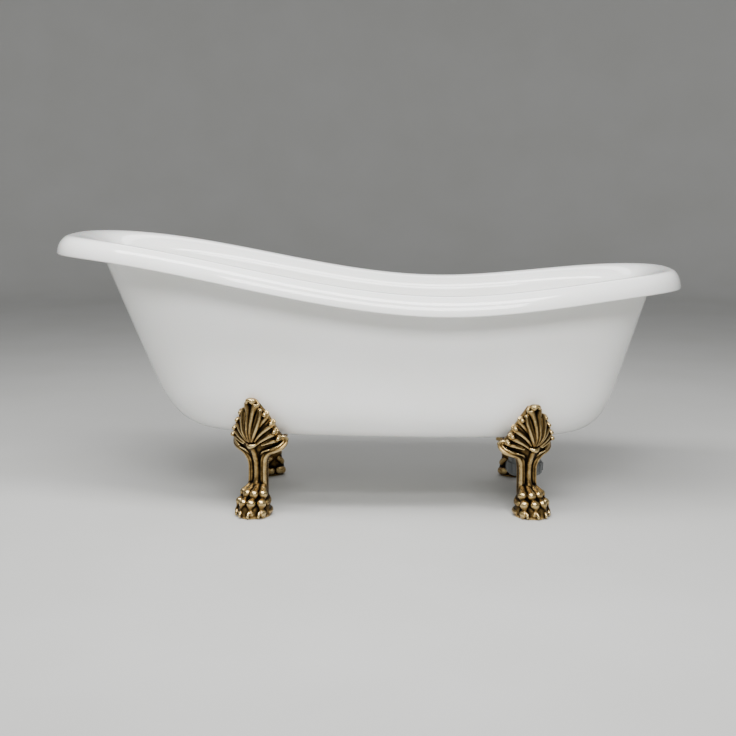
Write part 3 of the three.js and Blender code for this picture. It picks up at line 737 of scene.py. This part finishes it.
# %% The leg
def leg(bm):
    bar(
        bm,
        [
            (0, -20, 62, 11),
            (0, -11, 78, 11),
            (0, -6, 100, 8),
            (0, -6, 138, 8),
            (0, -12, 160, 8.5),
            (0, -20, 180, 9),
            (0, -30, 192, 7),
        ],
        rows=24,
    )
    for side in (-1, 1):
        bar(
            bm,
            [
                (side * 24, -8, 58, 9.5),
                (side * 20, -4, 78, 9),
                (side * 19, -3, 104, 8.5),
                (side * 19.5, -3, 138, 8.5),
                (side * 25, -7, 158, 9),
                (side * 37, -9, 173, 9),
                (side * 54, -7, 181, 9.5),
                (side * 69, 3, 189, 10),
                (side * 76, 14, 202, 9),
                (side * 71, 11, 212, 8),
                (side * 63, 4, 208, 6.5),
            ],
            rows=48,
            columns=24,
            groove=0.3,
        )
        # A thin bead runs up the groove between the ridges.
        bar(
            bm,
            [
                (side * 11, -10, 74, 2.4),
                (side * 9.5, -7, 100, 1.8),
                (side * 9.5, -7, 138, 1.8),
                (side * 14, -10, 160, 2.4),
                (side * 27, -18, 175, 2.8),
                (side * 44, -19, 182, 3),
            ],
            rows=20,
            columns=8,
        )


leg(pattern)
print("with the leg:", len(pattern.faces), "faces")

# %% The fan of leaves
# Base X and Z, tip X and Z, and radius of each lobe, from the middle outwards.
LOBES = [
    (8, 212, 37, 280, 12.5),
    (12, 206, 52, 257, 12.5),
    (20, 200, 61, 234, 12),
    (30, 195, 69, 215, 10),
]
# How wide a lobe is and how far it stands out, from its base to its curled tip.
LOBE_SHAPE = [(0, 0.35, 0), (0.25, 0.6, 1), (0.55, 0.85, 2.5), (0.85, 1.0, 4.5), (1.0, 0.85, 7.5)]
LOBE_FLAT, LOBE_SUNK, LOBE_ARCH = 0.66, 0.62, 0.3


def fan(bm):
    for side in (-1, 1):
        for base_x, base_z, tip_x, tip_z, radius in LOBES:
            path = []
            for share, size, lift in LOBE_SHAPE:
                x = base_x + (tip_x - base_x) * share
                z = base_z + (tip_z - base_z) * (share + LOBE_ARCH * share * (1 - share))
                y = front(x, z) + radius * size * LOBE_SUNK - lift
                path.append((side * x, y, z, radius * size))
            bar(bm, path, LOBE_FLAT, rows=24, columns=28, groove=0.42)
            # The tip rolls over into a small knob.
            x, y, z, _ = path[-1]
            bar(bm, [(x, y - 3, z + 1, 6.5), (x * 1.03, y - 8, z - 2, 6)], rows=6)
        bar(
            bm,
            [
                (side * 4, front(0, 204) + 2, 204, 4),
                (side * 14, front(14, 228) + 1, 228, 8),
                (side * 20, front(20, 252) + 1, 252, 9.5),
                (side * 23, front(23, 274) + 1, 274, 9.5),
                (side * 24, front(24, 288) - 2, 288, 7),
            ],
            rows=24,
            columns=24,
            groove=0.35,
        )
    bar(
        bm,
        [
            (0, front(0, 200) + 2, 200, 5),
            (0, front(0, 228) - 1, 228, 9),
            (0, front(0, 256) - 2, 256, 11),
            (0, front(0, 278) - 1, 278, 13),
            (0, front(0, 294) + 2, 293, 20),
            (0, front(0, 308) + 2, 307, 22.5),
            (0, front(0, 318) - 4, 310, 17),
        ],
        LOBE_FLAT,
        rows=34,
        columns=32,
        groove=0.5,
    )
    # The rolled boss where leaves and leg meet.
    bar(bm, [(-14, -30, 196, 4), (0, -37, 190, 7), (14, -30, 196, 4)], rows=12)


fan(pattern)
print("with the leaves:", len(pattern.faces), "faces")


# %% Melt the pattern into one skin
def loose_object(name, bm):
    """A working object that is thrown away later."""
    mesh = bpy.data.meshes.new(name)
    bm.to_mesh(mesh)
    bm.free()
    piece = bpy.data.objects.new(name, mesh)
    bpy.context.scene.collection.objects.link(piece)
    return piece


def melted(bm, voxel, hollow):
    """The union of every bar as one skin, by a voxel remesh, with a hollow cut into it."""
    wax, cutter = loose_object("wax", bm), loose_object("cutter", hollow)
    remesh = wax.modifiers.new("melt", "REMESH")
    remesh.mode = "VOXEL"
    remesh.voxel_size = voxel
    smooth = wax.modifiers.new("soften", "SMOOTH")
    smooth.factor, smooth.iterations = 0.5, 1
    cut = wax.modifiers.new("cut", "BOOLEAN")
    cut.operation, cut.object = "DIFFERENCE", cutter
    done = bmesh.new()
    done.from_object(wax, bpy.context.evaluated_depsgraph_get())
    for piece in (wax, cutter):
        mesh = piece.data
        bpy.data.objects.remove(piece)
        bpy.data.meshes.remove(mesh)
    return done


# %% The arm, the recess and the finished pattern
# The gusset that carries the arm.
bar(pattern, [(0, 8, 132, 10), (0, 22, 164, 11), (0, 44, 184, 9), (0, 82, 192, 5)], rows=20)
bmesh.ops.scale(pattern, vec=(MM, MM, MM), verts=pattern.verts)
# The arm that goes under the bath and takes the bolt.
bar_stock(pattern, (34, 116, 12.6), (0, 67, 196.7), round_mm=2.5)
bmesh.ops.recalc_face_normals(pattern, faces=pattern.faces)
# The adjuster screws up into a round recess in the sole.
recess = bmesh.new()
recess_line = [(0, -5), (19.5, -5), (19.5, 17), (5.6, 17), (5.6, 49), (0, 49)]
turn(recess, recess_line, steps=64, ease=0.3)
set_in(recess, Matrix.Translation((0, GLIDE_Y * MM, 0)))
pattern = melted(pattern, VOXEL * MM, recess)
print("casting pattern:", len(pattern.faces), "faces")

# %% [markdown]
# Each casting is the pattern, set at its corner and ground to lie on the shell: any point that
# would be inside the body sheet is moved out to its surface. The relief of the surface is how
# far each point stands above the mesh smoothed many times over, at the size of a knuckle, and
# it is kept as an attribute for the finish.

# %% The relief of a casting
RELIEF_ROUNDS = 40
RELIEF_SPAN = 3.4  # from the deepest hollow to the highest ridge, in millimetres


def relief(mesh):
    """How far each vertex stands out from the smoothed surface, as 0 (hollow) to 1 (ridge)."""
    count = len(mesh.vertices)
    place = np.zeros(count * 3)
    mesh.vertices.foreach_get("co", place)
    place = place.reshape(-1, 3)
    ends = np.zeros(len(mesh.edges) * 2, int)
    mesh.edges.foreach_get("vertices", ends)
    a, b = ends.reshape(-1, 2).T
    neighbours = np.bincount(a, minlength=count) + np.bincount(b, minlength=count)
    soft = place.copy()
    for _ in range(RELIEF_ROUNDS):
        total = [
            np.bincount(a, soft[b, axis], count) + np.bincount(b, soft[a, axis], count)
            for axis in range(3)
        ]
        soft = np.stack(total, axis=1) / neighbours[:, None]
    normals = np.zeros(count * 3)
    mesh.vertices.foreach_get("normal", normals)
    height = ((place - soft) * normals.reshape(-1, 3)).sum(axis=1)
    return np.clip(0.5 + height / (RELIEF_SPAN * MM), 0, 1)


# %% Set the four castings
CLEAR = 0.6  # between a casting's back and the body sheet
LAP_FROM = 190  # from here up the casting lies on the body
# The leaf's tip leans towards the bath's middle, by this much between these heights.
LEAN, LEAN_FROM, LEAN_FULL = 8, 200, 290
shell = bmesh.new()
shell.from_mesh(skin.data)
shell_tree = BVHTree.FromBMesh(shell)
shell.free()


def ground_to_shell(bm, lean):
    """Leans the leaf, and moves every point inside the body sheet out to its surface."""
    for vert in bm.verts:
        vert.co.z = max(vert.co.z, 0)
        vert.co.x += lean * MM * float(smoothstep(vert.co.z / MM, LEAN_FROM, LEAN_FULL))
        if vert.co.z > LAP_FROM * MM:
            spot, out, _, _ = shell_tree.find_nearest(vert.co)
            if (vert.co - spot).dot(out) < CLEAR * MM:
                vert.co = spot + out * CLEAR * MM


for name, foot in FEET.items():
    bm = pattern.copy()
    facing = Matrix.Rotation(math.radians(foot["turn"]), 3, "Z")
    bmesh.ops.scale(bm, vec=(1, 1, foot["stretch"]), verts=bm.verts)
    bmesh.ops.rotate(bm, cent=(0, 0, 0), matrix=facing, verts=bm.verts)
    bmesh.ops.translate(bm, vec=Vector((foot["x"], foot["y"], 0)) * MM, verts=bm.verts)
    ground_to_shell(bm, -math.copysign(LEAN, foot["x"]))
    casting = finish_piece(f"casting_{name}", bm, "bath", [f"foot_{name}"], 75)
    heights = casting.data.attributes.new("relief", "FLOAT", "POINT")
    heights.data.foreach_set("value", relief(casting.data))
pattern.free()

# %% [markdown]
# ## Turned brass fittings
# The waste, its plug and the overflow come off the lathe. Each is one or more closed sections,
# spun about the axis of its own hole and then set in place.

# %% The waste in the floor
# A shallow dish with a rolled rim, three webs under it and the hub that guides the plug.
def webs(bm, size, reach, height):
    """Three bars across a hole, in two halves each, with room for the hub between."""
    for number in range(3):
        for side in (-1, 1):
            bar_stock(bm, size, (side * reach, 0, height), number * 60)


bm = bmesh.new()
turn(
    bm,
    [
        (22.4, 1.6),
        (25.5, 2.6),
        (33, 2.6),
        (34.6, 2),
        (35, 1.2),
        (35, 0.4),
        (25.4, 0.4),
        (25.4, -18),
        (22.4, -18),
    ],
)
turn(bm, [(4.2, -18), (7, -18), (7, -10), (4.2, -10)], steps=40)
webs(bm, (16.6, 3, 4), 14.6, -14)
set_in(bm, DRAIN)
finish_piece("waste_flange", bm, "bath", ["drain_flange"], 35)

# %% The plug's cap
# A low dome with a turned bead round it and a small boss in the middle.
bm = bmesh.new()
turn(
    bm,
    [
        (0, 3.2),
        (27, 3.2),
        (30.4, 4.4),
        (30.5, 5.4),
        (29, 6.4),
        (26.4, 6.6),
        (25.6, 6.2),
        (24.8, 7),
        (18, 8.7),
        (10, 9.4),
        (8.6, 9.3),
        (7.6, 10),
        (0, 10.2),
    ],
    ease=0.35,
)
set_in(bm, DRAIN)
finish_piece("plug_dome", bm, "plug", ["plug_cap"], 35)

# %% The overflow's plate
# It has a stepped rim, a sleeve through the wall and a hub that guides the knob's spindle.
bm = bmesh.new()
turn(
    bm,
    [(19, 0.4), (34, 0.4), (34, 1.8), (33, 2.6), (31, 2.7), (30.2, 3.4), (23.4, 3.4), (19, 3)],
    ease=0.3,
)
turn(bm, [(19, 0.6), (23.4, 0.6), (23.4, -17), (19, -17)])
turn(bm, [(4.4, -11), (8, -11), (8, -5), (4.4, -5)], steps=40)
webs(bm, (13, 3, 3), 13.6, -8)
set_in(bm, OVERFLOW)
finish_piece("overflow_plate", bm, "bath", ["overflow_flange"], 35)

# %% The overflow's knob
# A disc with a milled edge and a bar to turn it by. Every fourth step of the spin goes in by
# half a millimetre, outside this radius, which makes the notches.
NOTCHES, NOTCH_DEPTH, MILLED_FROM = 60, 0.5, 27.5
bm = bmesh.new()
turn(
    bm,
    [
        (0, 5),
        (26, 5),
        (28.2, 5.8),
        (29, 7),
        (29, 12),
        (28.2, 13.2),
        (26, 13.8),
        (25, 13.4),
        (23.6, 14.4),
        (0, 15.5),
    ],
    steps=NOTCHES * 4,
    ease=0.35,
)
for vert in bm.verts:
    radius = vert.co.xy.length
    notch = math.atan2(vert.co.y, vert.co.x) / (2 * math.pi) * NOTCHES
    if radius > MILLED_FROM * MM and abs(notch - round(notch)) < 0.1:
        vert.co.xy *= 1 - NOTCH_DEPTH * MM / radius
bar_stock(bm, (46, 9, 11), (0, 0, 19.2), round_mm=2.6)
set_in(bm, OVERFLOW)
finish_piece("overflow_turn_knob", bm, "knob", ["overflow_knob"], 35)

# %% [markdown]
# ## Fixings and pipework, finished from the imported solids
# The trap, the fixings and the adjusters already have their true shapes, and only their edges
# are too sharp: nothing moulded or turned has a knife edge. So each is copied and merged, its
# triangles are joined back into flat faces, and every sharp edge gets a small bevel.


# %% Break the edges of the plain solids
SHARP_DEGREES = 28


def edges_broken(name, round_mm):
    """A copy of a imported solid, with each sharp edge bevelled."""
    bm = bmesh.new()
    bm.from_mesh(frame["nodes"][name].data)
    bmesh.ops.remove_doubles(bm, verts=bm.verts, dist=1e-6)
    bmesh.ops.dissolve_limit(bm, angle_limit=math.radians(1), verts=bm.verts, edges=bm.edges)
    limit = math.radians(SHARP_DEGREES)
    edges = [e for e in bm.edges if len(e.link_faces) == 2 and e.calc_face_angle(0) > limit]
    bmesh.ops.bevel(
        bm,
        geom=edges,
        offset=round_mm * MM,
        segments=2,
        profile=0.5,
        affect="EDGES",
        material=-1,
        clamp_overlap=True,
    )
    return bm


ROUNDINGS = {"trap_body": 0.8, "trap_cup": 0.8, "trap_nut": 0.6, "outlet_nut": 0.6}
ROUNDINGS["waste_body"] = 0.6
FIXINGS = ["foot_bolt", "foot_washer", "foot_pad", "glide", "glide_nut"]
ROUNDINGS |= {f"{fixing}_{foot}": 0.3 for fixing in FIXINGS for foot in FEET}
for name, round_mm in ROUNDINGS.items():
    body = "bath"
    if name.startswith("glide"):
        body = "leveller_" + name.removeprefix("glide_").removeprefix("nut_")
    bm = edges_broken(name, round_mm)
    finish_piece(f"{name}_finished", bm, body, [name], SHARP_DEGREES)

# %% [markdown]
# ## Stage, light and camera
# The bath stands in a round studio whose pale floor curves up into its wall, so no horizon cuts
# through the picture from any side. A long soft light hangs overhead and draws the bright line
# along the rim, a wider one further off fills the front of the shell, and a weak one stands
# behind, for the far side.

# %% Studio bowl
# The floor's radius, the bend's radius and the wall's height, in metres.
BOWL_FLOOR, BOWL_BEND, BOWL_WALL = 5.6, 1.9, 1.6
BEND_STEPS, BOWL_STEPS = 24, 96
profile = [(0, 0)]
for i in range(BEND_STEPS + 1):
    angle = i / BEND_STEPS * math.pi / 2
    profile.append((BOWL_FLOOR + BOWL_BEND * math.sin(angle), BOWL_BEND * (1 - math.cos(angle))))
profile.append((BOWL_FLOOR + BOWL_BEND, BOWL_BEND + BOWL_WALL))
bm = bmesh.new()
rim = [bm.verts.new((radius, 0, height)) for radius, height in profile]
line = [bm.edges.new(pair) for pair in zip(rim, rim[1:])]
bmesh.ops.spin(
    bm, geom=rim + line, axis=(0, 0, 1), angle=2 * math.pi, steps=BOWL_STEPS, use_merge=True
)
bmesh.ops.remove_doubles(bm, verts=bm.verts, dist=1e-5)
bmesh.ops.recalc_face_normals(bm, faces=bm.faces)
bmesh.ops.reverse_faces(bm, faces=bm.faces)
for face in bm.faces:
    face.smooth = True
mesh = bpy.data.meshes.new("studio_bowl")
bm.to_mesh(mesh)
bm.free()
bowl = bpy.data.objects.new("studio_bowl", mesh)
bpy.context.scene.collection.objects.link(bowl)
paper, tree, shader, place = start_material("studio_paint_matt", Roughness=0.7)
tooth = add(tree, "TexNoise", [("Vector", place)], Scale=per_mm(400), Detail=3)
tone = ramp(tree, tooth.outputs["Fac"], [(0.3, "B8B8B5"), (0.7, "BCBCBA")])
tree.links.new(tone, shader.inputs["Base Color"])
mesh.materials.append(paper)
print("studio bowl:", len(mesh.polygons), "faces")


# %% Soft lights
def softbox(name, place, target, size, power):
    """A rectangular lamp at a place, turned to its target. Metres and watts."""
    light = bpy.data.lights.new(name, "AREA")
    light.shape = "RECTANGLE"
    light.size, light.size_y = size
    light.energy = power
    lamp = bpy.data.objects.new(name, light)
    lamp.location = place
    lamp.rotation_euler = (Vector(target) - Vector(place)).to_track_quat("-Z", "Y").to_euler()
    bpy.context.scene.collection.objects.link(lamp)
    print(name, power, "W")


softbox("overhead", (-0.3, -1.0, 2.3), (0, 0, 0.45), (2.8, 0.6), 105)
softbox("front", (0.3, -3.9, 3.0), (0, 0, 0.35), (2.6, 1.2), 185)
softbox("behind", (0.2, 1.9, 2.6), (0, 0, 0.5), (3.0, 0.8), 30)

world = bpy.data.worlds.new("studio")
bpy.context.scene.world = world
world.use_nodes = True
sky = world.node_tree.nodes["Background"]
sky.inputs["Color"].default_value = linear("E2E3E4")
sky.inputs["Strength"].default_value = 0.4

# %% Camera
camera_data = bpy.data.cameras.new("camera")
camera_data.lens = 68
camera = bpy.data.objects.new("camera", camera_data)
camera.location = (0.042, -3.85, 0.95)
sight = Vector((-0.005, 0, 0.36)) - camera.location
camera.rotation_euler = sight.to_track_quat("-Z", "Y").to_euler()
bpy.context.scene.collection.objects.link(camera)
bpy.context.scene.camera = camera
print("camera", round(sight.length, 2), "m from what it looks at")

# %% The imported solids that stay
shown = {name: node for name, node in frame["nodes"].items() if not node.hide_render}
for name, node in shown.items():
    node.data.materials.clear()
    node.data.materials.append(FINISHES[SLOT_OF[name]])
print("packed solids that stay:", len(shown))
